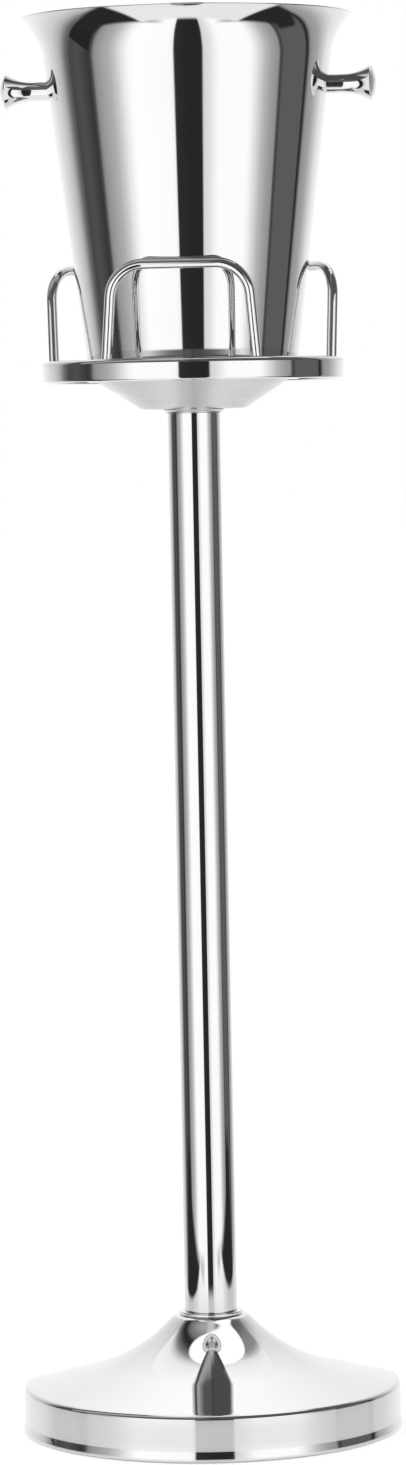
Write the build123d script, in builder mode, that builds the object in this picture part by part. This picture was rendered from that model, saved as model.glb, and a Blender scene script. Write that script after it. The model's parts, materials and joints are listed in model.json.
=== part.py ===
from build123d import *
import os
from math import cos, radians, sin, sqrt, tan

# Champagne bucket on a floor stand, in millimetres.
# Origin: centre of the base, on the floor. +Z up, the two bucket knobs on +X and -X,
# the front guard hoop on -Y.

# ---------------------------------------------------------------- driving dimensions
# Heights above the floor
total_height = 850.0
tray_top_z = 645.8
seat_z = 634.3  # ledge in the tray's well, under the bucket's bottom
skirt_bottom_z = 632.6
bowl_floor_z = 616.2  # underside of the tray's bowl
neck_top_z = 69.2  # flat top of the base's neck
collar_height = 2.4
foot_ring_height = 2.2

# Bucket: spun sheet, straight taper with a flared lip
bucket_sheet = 1.0
bucket_taper = 7.1  # degrees from vertical
bucket_radius_at_tray = 63.95
bucket_corner_radius = 2.5
flare_radius = 41.6
flare_end_angle = 49.0  # degrees from vertical at the rim
rim_rounding = 0.35

# Knobs on the bucket's sides
knob_z = 808.0
knob_neck_radius = 5.75
knob_disc_radius = 10.75
knob_neck_length = 9.5
knob_disc_length = 25.2  # from the wall to the disc's rim
knob_rim_width = 0.5
knob_length = 28.7  # from the wall to the tip of the domed end

# Tray: one spun piece with a seating well, a flat shelf and a rolled skirt
tray_sheet = 1.2
tray_radius = 91.0
well_radius = 64.55
seat_inner_radius = 57.0
bowl_floor_radius = 30.8
skirt_curl_radius = 1.6
skirt_curl_turn = 200.0  # degrees, from straight down to up and inward
bowl_corner_radius = 8.0
seat_inner_corner_radius = 1.5
well_foot_radius = 1.8
well_lip_radius = 2.0
shelf_edge_radius = 3.0

# Guard hoops: bent round wire standing on the tray
hoop_count = 3
hoop_wire_radius = 3.15
hoop_foot_circle = 83.5  # radius through the six feet
hoop_foot_spacing = 88.0
hoop_top_height = 58.2  # above the tray, to the outside of the wire
hoop_corner_radius = 20.0
hoop_leg_lean = 4.5  # degrees, legs lean towards each other
hoop_outward_lean = 4.5  # degrees, the hoop leans away from the bucket

# Pole
pole_radius = 16.0
pole_wall = 1.2
plug_height = 25.0
collar_top_radius = 18.4
collar_bottom_radius = 16.3
collar_step_width = 0.2  # the collar's foot widens by this much before it flares
collar_step_height = 0.7
collar_rim_height = 0.5
foot_ring_radius = 19.3
foot_ring_rounding = 0.6

# Base: spun bell over a cast weight
base_sheet = 1.2
base_neck_radius = 22.0
neck_rounding = 5.0
neck_cone_slope = 45.0  # degrees below horizontal
neck_cone_width = 5.1  # the neck falls at this slope over this width, then sweeps out
sweep_radius = 98.0
dome_slope = 14.3  # degrees below horizontal on the outer dome
shoulder_radius = 3.0
band_radius = 114.2  # the upright band under the shoulder
base_radius = 115.0
hem_height = 5.8
hem_rim_height = 1.6  # the hem flares down to this short upright rim
hem_rounding = 0.5
base_edge_z = 1.0  # the sheet's lower edge stays just off the floor
foot_pad_thickness = 3.0
bottom_plate_thickness = 1.2
bottom_plate_radius = 112.9
weight_radius = 96.0
weight_thickness = 9.0
weight_rim_chamfer = 2.0

# Fasteners, nominal thread radius and the clearance of a plain hole round it
thread_gap = 0.05
hole_gap = 0.3
stud_hole_gap = 0.1
bolt_reach = 20.0  # how far the two large bolts go into their plugs
knob_screw_radius = 2.5
hoop_stud_radius = 2.0
tray_bolt_radius = 4.0
base_bolt_radius = 5.0
plate_screw_radius = 2.0

# ---------------------------------------------------------------- derived dimensions
pole_top_z = bowl_floor_z - collar_height
pole_bottom_z = neck_top_z + foot_ring_height
pole_bore_radius = pole_radius - pole_wall
plate_bottom_z = foot_pad_thickness
weight_bottom_z = plate_bottom_z + bottom_plate_thickness
weight_top_z = weight_bottom_z + weight_thickness
neck_inside_z = neck_top_z - base_sheet
hoop_chord_distance = sqrt(hoop_foot_circle**2 - (hoop_foot_spacing / 2) ** 2)
hoop_turns = [360 / hoop_count * index for index in range(hoop_count)]


def bucket_wall_radius(height):
    """Outside radius of the bucket's straight wall at a height above the floor."""
    return bucket_radius_at_tray + (height - tray_top_z) * tan(radians(bucket_taper))


knob_wall_radius = bucket_wall_radius(knob_z)
knob_axis = Axis((0, 0, knob_z), (1, 0, 0))
side_planes = {
    "knob_right": Plane.XZ,
    "knob_left": Plane(origin=(0, 0, 0), x_dir=(-1, 0, 0), z_dir=(0, 1, 0)),
}

os.makedirs("parts", exist_ok=True)


# ---------------------------------------------------------------- bucket
# The lip is an arc tangent to the wall, so its height fixes where the straight wall ends.
flare_rise = flare_radius * (sin(radians(flare_end_angle)) - sin(radians(bucket_taper)))
rim_lift = bucket_sheet * sin(radians(flare_end_angle))
flare_start_z = total_height - rim_lift - flare_rise
knob_screw_hole_radius = knob_screw_radius + hole_gap

with BuildPart() as bucket_shell:
    with BuildSketch(Plane.XZ) as bucket_section:
        with BuildLine():
            wall = FilletPolyline(
                (0, seat_z),
                (bucket_wall_radius(seat_z), seat_z),
                (bucket_wall_radius(flare_start_z), flare_start_z),
                radius=bucket_corner_radius,
            )
            JernArc(wall @ 1, wall % 1, flare_radius, bucket_taper - flare_end_angle)
            offset(amount=bucket_sheet, side=Side.LEFT)
        make_face()
        rim_corners = bucket_section.vertices().sort_by(Axis.Y)[-2:]
        fillet(rim_corners, rim_rounding)
    revolve(axis=Axis.Z)
    with BuildSketch(Plane.YZ):
        with Locations((0, knob_z)):
            Circle(knob_screw_hole_radius)
    extrude(amount=total_height, both=True, mode=Mode.SUBTRACT)
bucket_shell.part.label = "bucket_shell"
export_step(bucket_shell.part, "parts/bucket_shell.step")


# ---------------------------------------------------------------- knobs and their fixings
# Each knob is turned from bar: a plain neck, a trumpet flare, a thin disc rim and a domed end.
# Its inner end is cut to the bucket's wall, and a screw from inside the bucket holds it.
knob_screw_reach = 12.0
knob_bore_depth = 13.5
seal_thickness = 2.9  # at its thickest, from the outside of the bucket's wall
seal_face_x = knob_wall_radius - seal_thickness
seal_radius = 7.5
knob_washer_thickness = 1.2
screw_head_radius = 4.6
screw_head_height = 3.0
wall_cut_height = 40.0


def wall_cone(inset, mode):
    """The space inside the bucket's straight wall near the knobs, inset from its outside."""
    with Locations((0, 0, knob_z)):
        Cone(
            bottom_radius=bucket_wall_radius(knob_z - wall_cut_height / 2) - inset,
            top_radius=bucket_wall_radius(knob_z + wall_cut_height / 2) - inset,
            height=wall_cut_height,
            mode=mode,
        )


for name, plane in side_planes.items():
    with BuildPart() as knob:
        with BuildSketch(plane):
            with BuildLine():
                neck_end = (knob_wall_radius + knob_neck_length, knob_z + knob_neck_radius)
                rim_back = (knob_wall_radius + knob_disc_length, knob_z + knob_disc_radius)
                rim_front = (rim_back[0] + knob_rim_width, rim_back[1])
                tip = (knob_wall_radius + knob_length, knob_z)
                root = (knob_wall_radius - knob_neck_radius, knob_z)
                Polyline(tip, root, (root[0], neck_end[1]), neck_end)
                TangentArc(neck_end, rim_back, tangent=(1, 0))
                Line(rim_back, rim_front)
                TangentArc(tip, rim_front, tangent=(0, 1))
            make_face()
        revolve(axis=knob_axis)
        wall_cone(0, Mode.SUBTRACT)
        with BuildSketch(Plane.YZ):
            with Locations((0, knob_z)):
                Circle(knob_screw_radius)
        bore_end = knob_wall_radius + knob_bore_depth
        extrude(amount=bore_end, both=True, mode=Mode.SUBTRACT)
    knob.part.label = name
    export_step(knob.part, f"parts/{name}.step")

# Soft seal between the bucket's inner wall and the washer, shaped to the wall.
with BuildPart() as knob_seals:
    for plane in side_planes.values():
        with BuildSketch(plane):
            with BuildLine():
                Polyline(
                    (seal_face_x, knob_z + knob_screw_hole_radius),
                    (knob_wall_radius, knob_z + knob_screw_hole_radius),
                    (knob_wall_radius, knob_z + seal_radius),
                    (seal_face_x, knob_z + seal_radius),
                    close=True,
                )
            make_face()
        revolve(axis=knob_axis)
    wall_cone(bucket_sheet / cos(radians(bucket_taper)), Mode.INTERSECT)
knob_seals.part.label = "knob_seals"
export_step(knob_seals.part, "parts/knob_seals.step")

with BuildPart() as knob_washers:
    washer_face_x = seal_face_x - knob_washer_thickness
    for plane in side_planes.values():
        with BuildSketch(plane):
            with BuildLine():
                Polyline(
                    (washer_face_x, knob_z + knob_screw_hole_radius),
                    (seal_face_x, knob_z + knob_screw_hole_radius),
                    (seal_face_x, knob_z + seal_radius),
                    (washer_face_x, knob_z + seal_radius),
                    close=True,
                )
            make_face()
        revolve(axis=knob_axis)
knob_washers.part.label = "knob_washers"
export_step(knob_washers.part, "parts/knob_washers.step")

with BuildPart() as knob_screws:
    shank_radius = knob_screw_radius - thread_gap
    shank_end_x = knob_wall_radius + knob_screw_reach
    for plane in side_planes.values():
        with BuildSketch(plane):
            with BuildLine():
                crown = (washer_face_x - screw_head_height, knob_z)
                head_edge = (washer_face_x, knob_z + screw_head_radius)
                Polyline(
                    crown,
                    (shank_end_x, knob_z),
                    (shank_end_x, knob_z + shank_radius),
                    (washer_face_x, knob_z + shank_radius),
                    head_edge,
                )
                TangentArc(crown, head_edge, tangent=(0, 1))
            make_face()
        revolve(axis=knob_axis)
knob_screws.part.label = "knob_screws"
export_step(knob_screws.part, "parts/knob_screws.step")


# ---------------------------------------------------------------- tray
# The section runs from the bolt hole along the bowl's inside, over the seating ledge, up the
# well, across the shelf, down the skirt and round the curl; the sheet lies below that line.
tray_bolt_hole_radius = tray_bolt_radius + hole_gap
stud_hole_radius = hoop_stud_radius + stud_hole_gap
stud_hole_cut = 2 * tray_sheet
bowl_inside_z = bowl_floor_z + tray_sheet

with BuildPart() as tray:
    with BuildSketch(Plane.XZ):
        with BuildLine():
            curl_start = (tray_radius, skirt_bottom_z + skirt_curl_radius)
            spun_line = FilletPolyline(
                (tray_bolt_hole_radius, bowl_inside_z),
                (bowl_floor_radius, bowl_inside_z),
                (seat_inner_radius, seat_z),
                (well_radius, seat_z),
                (well_radius, tray_top_z),
                (tray_radius, tray_top_z),
                curl_start,
                radius=[
                    bowl_corner_radius,
                    seat_inner_corner_radius,
                    well_foot_radius,
                    well_lip_radius,
                    shelf_edge_radius,
                ],
            )
            JernArc(curl_start, (0, -1), skirt_curl_radius, -skirt_curl_turn)
            offset(amount=tray_sheet, side=Side.RIGHT)
        make_face()
    revolve(axis=Axis.Z)
    for turn in hoop_turns:
        with BuildSketch(Plane.XY.offset(tray_top_z).rotated((0, 0, turn))):
            with Locations((0, -hoop_chord_distance)):
                with GridLocations(hoop_foot_spacing, 0, 2, 1):
                    Circle(stud_hole_radius)
        extrude(amount=-stud_hole_cut, mode=Mode.SUBTRACT)
tray.part.label = "tray"
export_step(tray.part, "parts/tray.step")


# ---------------------------------------------------------------- guard hoops
# Each hoop is one bent rod. Its legs end on the tray, and a threaded stud on each end
# goes down through the tray to a washer and a nut inside the skirt.
stud_length = 7.5
stud_top_z = tray_top_z + 2.0  # the stud's upper end is inside the rod
hoop_washer_radius = 4.5
hoop_washer_thickness = 0.8
hoop_nut_flats = 7.0
hoop_nut_height = 3.2
hoop_names = ["guard_hoop_front", "guard_hoop_rear_right", "guard_hoop_rear_left"]


def hoop_plane(turn):
    """Plane of a hoop: its origin midway between the feet, its normal outward."""
    middle = Vector(0, -hoop_chord_distance, tray_top_z).rotate(Axis.Z, turn)
    along = Vector(1, 0, 0).rotate(Axis.Z, turn)
    outward = Vector(0, -1, 0).rotate(Axis.X, hoop_outward_lean).rotate(Axis.Z, turn)
    return Plane(origin=middle, x_dir=along, z_dir=outward)


def foot_locations(height, turn):
    """Places of one hoop's two feet at a height."""
    foot_plane = Plane.XY.offset(height).rotated((0, 0, turn))
    return [
        foot_plane * Location((side * hoop_foot_spacing / 2, -hoop_chord_distance, 0))
        for side in (-1, 1)
    ]


hoop_rise = (hoop_top_height - hoop_wire_radius) / cos(radians(hoop_outward_lean))
leg_trim = 2.0  # the wire runs on below the tray's top and is cut flat there
lean_per_mm = tan(radians(hoop_leg_lean))

for name, turn in zip(hoop_names, hoop_turns):
    with BuildPart() as hoop:
        with BuildLine(hoop_plane(turn)) as centre_line:
            half_foot = hoop_foot_spacing / 2 + leg_trim * lean_per_mm
            half_top = hoop_foot_spacing / 2 - hoop_rise * lean_per_mm
            FilletPolyline(
                (-half_foot, -leg_trim),
                (-half_top, hoop_rise),
                (half_top, hoop_rise),
                (half_foot, -leg_trim),
                radius=hoop_corner_radius,
            )
        wire_start = centre_line.line @ 0
        wire_direction = centre_line.line % 0
        with BuildSketch(Plane(origin=wire_start, z_dir=wire_direction)):
            Circle(hoop_wire_radius)
        sweep(path=centre_line.line)
        split(bisect_by=Plane.XY.offset(tray_top_z), keep=Keep.TOP)
        with Locations(foot_locations(stud_top_z, turn)):
            Cylinder(
                radius=hoop_stud_radius - thread_gap,
                height=stud_top_z - tray_top_z + stud_length,
                align=(Align.CENTER, Align.CENTER, Align.MAX),
            )
    hoop.part.label = name
    export_step(hoop.part, f"parts/{name}.step")

shelf_underside_z = tray_top_z - tray_sheet
with BuildPart() as hoop_washers:
    for turn in hoop_turns:
        with BuildSketch(foot_locations(shelf_underside_z, turn)):
            Circle(hoop_washer_radius)
            Circle(stud_hole_radius, mode=Mode.SUBTRACT)
        extrude(amount=-hoop_washer_thickness)
hoop_washers.part.label = "hoop_washers"
export_step(hoop_washers.part, "parts/hoop_washers.step")

with BuildPart() as hoop_nuts:
    for turn in hoop_turns:
        nut_top_z = shelf_underside_z - hoop_washer_thickness
        with BuildSketch(foot_locations(nut_top_z, turn)):
            RegularPolygon(hoop_nut_flats / 2, 6, major_radius=False)
            Circle(hoop_stud_radius, mode=Mode.SUBTRACT)
        extrude(amount=-hoop_nut_height)
hoop_nuts.part.label = "hoop_nuts"
export_step(hoop_nuts.part, "parts/hoop_nuts.step")


# ---------------------------------------------------------------- pole and its ends
with BuildPart() as pole_tube:
    with BuildSketch(Plane.XY.offset(pole_bottom_z)):
        Circle(pole_radius)
        Circle(pole_bore_radius, mode=Mode.SUBTRACT)
    extrude(amount=pole_top_z - pole_bottom_z)
pole_tube.part.label = "pole_tube"
export_step(pole_tube.part, "parts/pole_tube.step")

with BuildPart() as top_collar:
    with BuildSketch(Plane.XZ):
        with BuildLine():
            Polyline(
                (tray_bolt_hole_radius, pole_top_z),
                (collar_bottom_radius, pole_top_z),
                (collar_bottom_radius + collar_step_width, pole_top_z + collar_step_height),
                (collar_top_radius, bowl_floor_z - collar_rim_height),
                (collar_top_radius, bowl_floor_z),
                (tray_bolt_hole_radius, bowl_floor_z),
                close=True,
            )
        make_face()
    revolve(axis=Axis.Z)
top_collar.part.label = "top_collar"
export_step(top_collar.part, "parts/top_collar.step")

with BuildPart() as pole_foot_ring:
    with BuildSketch(Plane.XY.offset(neck_top_z)):
        Circle(foot_ring_radius)
        Circle(base_bolt_radius + hole_gap, mode=Mode.SUBTRACT)
    extrude(amount=foot_ring_height)
    ring_rims = pole_foot_ring.edges().filter_by(GeomType.CIRCLE).sort_by(SortBy.RADIUS)[-2:]
    fillet(ring_rims, foot_ring_rounding)
pole_foot_ring.part.label = "pole_foot_ring"
export_step(pole_foot_ring.part, "parts/pole_foot_ring.step")

# Threaded plugs fixed inside the tube's ends take the bolts of the tray and the base.
with BuildPart() as top_plug:
    with BuildSketch(Plane.XY.offset(pole_top_z)):
        Circle(pole_bore_radius)
        Circle(tray_bolt_radius, mode=Mode.SUBTRACT)
    extrude(amount=-plug_height)
top_plug.part.label = "top_plug"
export_step(top_plug.part, "parts/top_plug.step")

with BuildPart() as bottom_plug:
    with BuildSketch(Plane.XY.offset(pole_bottom_z)):
        Circle(pole_bore_radius)
        Circle(base_bolt_radius, mode=Mode.SUBTRACT)
    extrude(amount=plug_height)
bottom_plug.part.label = "bottom_plug"
export_step(bottom_plug.part, "parts/bottom_plug.step")


# ---------------------------------------------------------------- tray bolt
# A hexagon bolt stands in the tray's bowl, under the bucket, and pulls the tray to the pole.
tray_bolt_flats = 13.0
tray_bolt_head = 5.3
tray_bolt_chamfer = 0.6
tray_washer_thickness = 1.6
tray_washer_radius = 12.0
tray_head_z = bowl_inside_z + tray_washer_thickness

with BuildPart() as tray_bolt_washer:
    with BuildSketch(Plane.XY.offset(bowl_inside_z)):
        Circle(tray_washer_radius)
        Circle(tray_bolt_hole_radius, mode=Mode.SUBTRACT)
    extrude(amount=tray_washer_thickness)
tray_bolt_washer.part.label = "tray_bolt_washer"
export_step(tray_bolt_washer.part, "parts/tray_bolt_washer.step")

with BuildPart() as tray_bolt:
    with BuildSketch(Plane.XY.offset(tray_head_z)):
        RegularPolygon(tray_bolt_flats / 2, 6, major_radius=False)
    extrude(amount=tray_bolt_head)
    chamfer(tray_bolt.faces().sort_by(Axis.Z)[-1].edges(), tray_bolt_chamfer)
    with BuildSketch(Plane.XY.offset(tray_head_z)):
        Circle(tray_bolt_radius - thread_gap)
    extrude(amount=-(tray_head_z - pole_top_z + bolt_reach))
tray_bolt.part.label = "tray_bolt"
export_step(tray_bolt.part, "parts/tray_bolt.step")


# ---------------------------------------------------------------- base
base_bolt_hole_radius = base_bolt_radius + hole_gap
neck_cone_drop = neck_cone_width * tan(radians(neck_cone_slope))
neck_cone_end = (base_neck_radius + neck_cone_width, neck_top_z - neck_cone_drop)
slope_sine = sin(radians(dome_slope))
sweep_width = sweep_radius * (sin(radians(neck_cone_slope)) - slope_sine)
sweep_end_radius = neck_cone_end[0] + sweep_width
shoulder_width = shoulder_radius * (1 - slope_sine)
dome_width = band_radius - shoulder_width - sweep_end_radius

with BuildPart() as base_shell:
    with BuildSketch(Plane.XZ) as base_section:
        with BuildLine():
            neck = FilletPolyline(
                (base_bolt_hole_radius, neck_top_z),
                (base_neck_radius, neck_top_z),
                neck_cone_end,
                radius=neck_rounding,
            )
            sweep_out = JernArc(neck @ 1, neck % 1, sweep_radius, neck_cone_slope - dome_slope)
            dome_length = dome_width / cos(radians(dome_slope))
            dome = PolarLine(sweep_out @ 1, dome_length, angle=-dome_slope)
            shoulder = JernArc(dome @ 1, dome % 1, shoulder_radius, dome_slope - 90)
            Line(shoulder @ 1, (band_radius, base_edge_z))
            offset(amount=base_sheet, side=Side.RIGHT)
        make_face()
        # Hem that flares out round the lower edge to a short upright rim
        with BuildSketch() as hem:
            with BuildLine():
                Polyline(
                    (base_radius - base_sheet, base_edge_z),
                    (base_radius, base_edge_z),
                    (base_radius, base_edge_z + hem_rim_height),
                    (band_radius, base_edge_z + hem_height),
                    (base_radius - base_sheet, base_edge_z + hem_height),
                    close=True,
                )
            make_face()
            fillet(hem.vertices().group_by(Axis.X)[-1], hem_rounding)
    revolve(axis=Axis.Z)
base_shell.part.label = "base_shell"
export_step(base_shell.part, "parts/base_shell.step")

# Cast weight: a disc that fills the base's foot and a boss that carries the neck.
bolt_recess_radius = 13.0
bolt_recess_top_z = 12.0
boss_foot_radius = 24.0
boss_foot_height = 6.0
boss_taper_height = 22.0
boss_top_radius = 17.0
plate_screw_circle = 70.0
plate_screw_count = 3
plate_screw_depth = 7.0
plate_screw_first_angle = 30.0
screw_end_gap = 1.0  # between a screw's end and the bottom of its hole

with BuildPart() as base_weight:
    with BuildSketch(Plane.XZ):
        with BuildLine():
            Polyline(
                (bolt_recess_radius, weight_bottom_z),
                (weight_radius, weight_bottom_z),
                (weight_radius, weight_top_z - weight_rim_chamfer),
                (weight_radius - weight_rim_chamfer, weight_top_z),
                (boss_foot_radius + boss_foot_height, weight_top_z),
                (boss_foot_radius, weight_top_z + boss_foot_height),
                (boss_top_radius, weight_top_z + boss_taper_height),
                (boss_top_radius, neck_inside_z),
                (base_bolt_hole_radius, neck_inside_z),
                (base_bolt_hole_radius, bolt_recess_top_z),
                (bolt_recess_radius, bolt_recess_top_z),
                close=True,
            )
        make_face()
    revolve(axis=Axis.Z)
    with BuildSketch(Plane.XY.offset(weight_bottom_z)):
        with PolarLocations(plate_screw_circle, plate_screw_count, start_angle=plate_screw_first_angle):
            Circle(plate_screw_radius)
    extrude(amount=plate_screw_depth, mode=Mode.SUBTRACT)
base_weight.part.label = "base_weight"
export_step(base_weight.part, "parts/base_weight.step")

with BuildPart() as bottom_plate:
    with BuildSketch(Plane.XY.offset(plate_bottom_z)):
        Circle(bottom_plate_radius)
        Circle(bolt_recess_radius, mode=Mode.SUBTRACT)
        with PolarLocations(plate_screw_circle, plate_screw_count, start_angle=plate_screw_first_angle):
            Circle(plate_screw_radius + hole_gap, mode=Mode.SUBTRACT)
    extrude(amount=bottom_plate_thickness)
bottom_plate.part.label = "bottom_plate"
export_step(bottom_plate.part, "parts/bottom_plate.step")

plate_screw_head_radius = 3.8
plate_screw_head_height = 1.8
plate_screw_head_rounding = 0.8
with BuildPart() as bottom_plate_screws:
    with BuildSketch(Plane.XY.offset(plate_bottom_z)):
        with PolarLocations(plate_screw_circle, plate_screw_count, start_angle=plate_screw_first_angle):
            Circle(plate_screw_head_radius)
    extrude(amount=-plate_screw_head_height)
    head_rims = bottom_plate_screws.faces().group_by(Axis.Z)[0].edges()
    fillet(head_rims, plate_screw_head_rounding)
    with BuildSketch(Plane.XY.offset(plate_bottom_z)):
        with PolarLocations(plate_screw_circle, plate_screw_count, start_angle=plate_screw_first_angle):
            Circle(plate_screw_radius - thread_gap)
    extrude(amount=bottom_plate_thickness + plate_screw_depth - screw_end_gap)
bottom_plate_screws.part.label = "bottom_plate_screws"
export_step(bottom_plate_screws.part, "parts/bottom_plate_screws.step")

foot_pad_inner_radius = 98.0
foot_pad_outer_radius = 110.0
with BuildPart() as foot_pad_ring:
    with BuildSketch(Plane.XY):
        Circle(foot_pad_outer_radius)
        Circle(foot_pad_inner_radius, mode=Mode.SUBTRACT)
    extrude(amount=foot_pad_thickness)
foot_pad_ring.part.label = "foot_pad_ring"
export_step(foot_pad_ring.part, "parts/foot_pad_ring.step")


# ---------------------------------------------------------------- base bolt
base_bolt_flats = 17.0
base_bolt_head = 6.4
base_bolt_chamfer = 0.8
base_washer_thickness = 2.0
base_washer_radius = 10.5
base_head_z = bolt_recess_top_z - base_washer_thickness

with BuildPart() as base_bolt_washer:
    with BuildSketch(Plane.XY.offset(base_head_z)):
        Circle(base_washer_radius)
        Circle(base_bolt_hole_radius, mode=Mode.SUBTRACT)
    extrude(amount=base_washer_thickness)
base_bolt_washer.part.label = "base_bolt_washer"
export_step(base_bolt_washer.part, "parts/base_bolt_washer.step")

with BuildPart() as base_bolt:
    with BuildSketch(Plane.XY.offset(base_head_z)):
        RegularPolygon(base_bolt_flats / 2, 6, major_radius=False)
    extrude(amount=-base_bolt_head)
    chamfer(base_bolt.faces().sort_by(Axis.Z)[0].edges(), base_bolt_chamfer)
    with BuildSketch(Plane.XY.offset(base_head_z)):
        Circle(base_bolt_radius - thread_gap)
    extrude(amount=pole_bottom_z + bolt_reach - base_head_z)
base_bolt.part.label = "base_bolt"
export_step(base_bolt.part, "parts/base_bolt.step")
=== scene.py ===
import json
import math

import bmesh
import bpy
from mathutils import Matrix, Vector


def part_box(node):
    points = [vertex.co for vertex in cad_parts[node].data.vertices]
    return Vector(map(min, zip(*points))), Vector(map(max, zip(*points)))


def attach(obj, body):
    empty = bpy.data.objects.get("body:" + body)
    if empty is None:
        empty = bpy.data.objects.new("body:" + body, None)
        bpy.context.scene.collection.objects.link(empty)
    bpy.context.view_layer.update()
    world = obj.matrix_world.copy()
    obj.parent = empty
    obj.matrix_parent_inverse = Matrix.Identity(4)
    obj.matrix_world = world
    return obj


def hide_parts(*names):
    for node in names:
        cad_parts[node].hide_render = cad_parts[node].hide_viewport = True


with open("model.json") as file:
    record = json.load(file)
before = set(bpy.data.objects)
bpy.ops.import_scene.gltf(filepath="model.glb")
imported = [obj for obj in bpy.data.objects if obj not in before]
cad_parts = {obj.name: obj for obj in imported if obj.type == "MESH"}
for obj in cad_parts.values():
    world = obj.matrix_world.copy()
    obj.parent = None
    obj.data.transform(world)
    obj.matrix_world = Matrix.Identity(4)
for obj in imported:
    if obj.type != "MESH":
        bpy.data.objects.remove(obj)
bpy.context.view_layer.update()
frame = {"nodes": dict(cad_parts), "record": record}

# A champagne bucket on its stand: finer meshes in place of the CAD model's outer pieces, finishes
# for all pieces, and the studio of the photograph. Lengths are metres, in the CAD model's frame.
MM = 0.001
UP = Vector((0, 0, 1))

# ---------------------------------------------------------------- sizes read from the frame
bucket_low, bucket_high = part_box("bucket_shell")
tray_low, tray_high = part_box("tray")
pole_low, pole_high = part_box("pole_tube")
collar_low, collar_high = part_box("top_collar")
ring_low, ring_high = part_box("pole_foot_ring")
base_low, base_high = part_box("base_shell")
knob_low, knob_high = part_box("knob_right")
_, hoop_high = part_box("guard_hoop_front")

SEAT_Z = bucket_low.z
RIM_Z = bucket_high.z
SHELF_Z = tray_high.z
KNOB_Z = (knob_low.z + knob_high.z) / 2

# ---------------------------------------------------------------- sizes of the spun and bent shapes
BUCKET_SHEET = 1.0 * MM
BUCKET_TAPER = math.radians(7.1)
BUCKET_RADIUS_AT_SHELF = 63.95 * MM
BUCKET_CORNER = 2.5 * MM
FLARE_RADIUS = 41.6 * MM
FLARE_END = math.radians(49.0)
TRAY_SHEET = 1.2 * MM
BASE_SHEET = 1.2 * MM
WIRE_RADIUS = 3.15 * MM

BOLT_HOLE = 4.3 * MM  # radius of the bolt's hole in the tray and the collar
BASE_BOLT_HOLE = 5.3 * MM  # the same in the foot ring and the base

# ---------------------------------------------------------------- fineness of the meshes
ROUND_STEP = math.radians(4)  # largest turn between two points of a rounded corner
SWEEP_STEP = math.radians(1.5)  # the same on the long curves of the bucket and the base
WALL_STEP = 5 * MM  # longest straight stretch left undivided
LATHE_SEGMENTS = 256
SHARP_ANGLE = math.radians(38)  # edges that turn more than this are shaded sharp
SAME_PLACE = 1e-7  # points nearer than this are one point
ON_AXIS = 1e-6  # points nearer to the axis than this lie on it
CUT_EDGE_TURNS = (0.18, 0.34, 0.5, 0.66, 0.82)  # points round a sheet's cut edge, in half turns
CUT_EDGE_BULGE = 0.6  # how far the cut edge stands out, as a share of half the sheet


# ---------------------------------------------------------------- outlines
def arc(centre, radius, start, end, step=ROUND_STEP):
    """Points along a circular arc from one angle to another, ends included."""
    count = max(2, math.ceil(abs(end - start) / step))
    angles = [start + (end - start) * index / count for index in range(count + 1)]
    x, y = centre
    return [Vector((x + radius * math.cos(a), y + radius * math.sin(a))) for a in angles]


def rounded(corners, radii):
    """A path through the corners, with each inner corner rounded to its radius."""
    corners = [Vector(corner) for corner in corners]
    path = [corners[0]]
    for before, corner, after, radius in zip(corners, corners[1:], corners[2:], radii):
        back = (before - corner).normalized()
        onward = (after - corner).normalized()
        half = back.angle(onward) / 2
        centre = corner + (back + onward).normalized() * radius / math.sin(half)
        reach = radius / math.tan(half)
        start = corner + back * reach - centre
        end = corner + onward * reach - centre
        first = math.atan2(start.y, start.x)
        turn = (math.atan2(end.y, end.x) - first + math.pi) % math.tau - math.pi
        path += arc(centre, radius, first, first + turn)
    return path + [corners[-1]]


def divided(path, step=WALL_STEP):
    """The path with its long straight stretches cut into equal shorter ones."""
    result = [path[0]]
    for start, end in zip(path, path[1:]):
        count = max(1, math.ceil((end - start).length / step))
        result += [start.lerp(end, index / count) for index in range(1, count + 1)]
    return result


def beside(path, distance):
    """The path moved to its left by a distance, mitred at each point."""
    directions = [(end - start).normalized() for start, end in zip(path, path[1:])]
    normals = [Vector((-d.y, d.x)) for d in directions]
    normals = [normals[0]] + normals + [normals[-1]]
    moved = []
    for point, before, after in zip(path, normals, normals[1:]):
        moved.append(point + (before + after) * distance / (1 + before.dot(after)))
    return moved


def sheet_outline(path, thickness, round_start=True):
    """The outline of a sheet that has the path as one face and lies to the path's left."""
    other = beside(path, thickness)
    outline = list(path) + edge_round(path[-1], other[-1])
    outline += reversed(other)
    if round_start:
        outline += edge_round(other[0], path[0])
    return outline


def edge_round(start, end):
    """Points between two corners of a sheet's cut edge, which is slightly rounded."""
    middle = (start + end) / 2
    across = (start - end) / 2
    outward = Vector((across.y, -across.x)) * CUT_EDGE_BULGE
    angles = [math.pi * turn for turn in CUT_EDGE_TURNS]
    return [middle + across * math.cos(a) + outward * math.sin(a) for a in angles]


# ---------------------------------------------------------------- meshes
def finish_piece(name, mesh_data, body, node):
    """Turns mesh data into a smooth-shaded piece that rides on a body in place of a CAD node."""
    bmesh.ops.remove_doubles(mesh_data, verts=mesh_data.verts, dist=SAME_PLACE)
    bmesh.ops.recalc_face_normals(mesh_data, faces=mesh_data.faces)
    for face in mesh_data.faces:
        face.smooth = True
    for edge in mesh_data.edges:
        edge.smooth = edge.calc_face_angle(0) < SHARP_ANGLE
    mesh = bpy.data.meshes.new(name)
    mesh_data.to_mesh(mesh)
    mesh_data.free()
    piece = bpy.data.objects.new(name, mesh)
    bpy.context.scene.collection.objects.link(piece)
    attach(piece, body)
    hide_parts(node)
    return piece


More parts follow.
